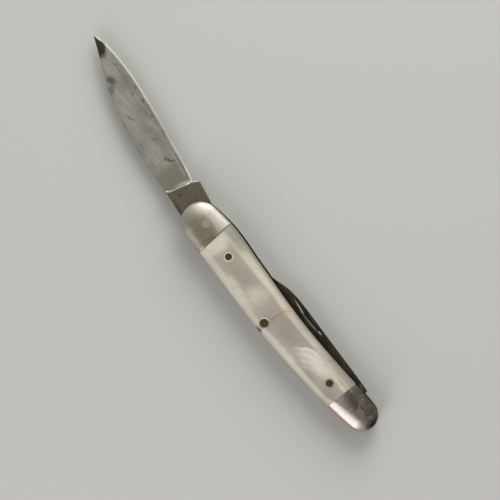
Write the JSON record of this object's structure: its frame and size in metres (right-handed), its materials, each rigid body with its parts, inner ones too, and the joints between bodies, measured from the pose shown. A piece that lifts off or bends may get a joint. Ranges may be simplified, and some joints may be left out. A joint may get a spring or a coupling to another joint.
{
  "type": "folding pocket knife",
  "caption": "Slim folding penknife with pearl scales, nickel-silver bolsters at both ends and blades that fold from either end against a shared back spring.",
  "frame": {"origin": "on the flat face of the rear scale, midway between the two blade pivots", "axes": "+X towards the tip of the open master blade, +Y towards the back of the handle, +Z out of the front scale"},
  "size_m": [0.1199, 0.0158, 0.008],
  "materials": {
    "pearl": "polished mother-of-pearl, cream with a grey figure",
    "nickel_silver": "worn satin nickel silver with brown tarnish",
    "liner_brass": "tarnished brass sheet",
    "pin_brass": "brass with a bright rim and a dark dish",
    "pivot_metal": "pale brass filed flush",
    "master_steel": "grey carbon steel, scratched and stained",
    "pen_steel": "carbon steel with a dark brown patina",
    "spring_steel": "carbon steel, filed and darkened"
  },
  "bodies": {
    "handle": {"front_scale": "pearl", "front_liner": "liner_brass", "front_bolster_rivets": "pin_brass", "front_master_bolster": "nickel_silver", "front_master_scale_pin": "pin_brass", "front_pen_bolster": "nickel_silver", "front_pen_scale_pin": "pin_brass", "rear_scale": "pearl", "rear_liner": "liner_brass", "rear_bolster_rivets": "pin_brass", "rear_master_bolster": "nickel_silver", "rear_master_scale_pin": "pin_brass", "rear_pen_bolster": "nickel_silver", "rear_pen_scale_pin": "pin_brass", "backspring": "spring_steel", "spring_pin": "pin_brass", "master_pivot_pin": "pivot_metal", "pen_pivot_pin": "pivot_metal"},
    "master": {"master_blade": "master_steel"},
    "pen": {"pen_blade": "pen_steel"}
  },
  "joints": [
    {"name": "master_fold", "type": "hinge", "parent": "handle", "child": "master", "pos_m": [0.0305, 0, 0.004], "axis": [0, 0, -1], "range_deg": [0, 169], "deforming": ["backspring"]},
    {"name": "pen_fold", "type": "hinge", "parent": "handle", "child": "pen", "pos_m": [-0.0305, 0, 0.004], "axis": [0, 0, -1], "range_deg": [0, 166], "deforming": ["backspring"]}
  ]
}
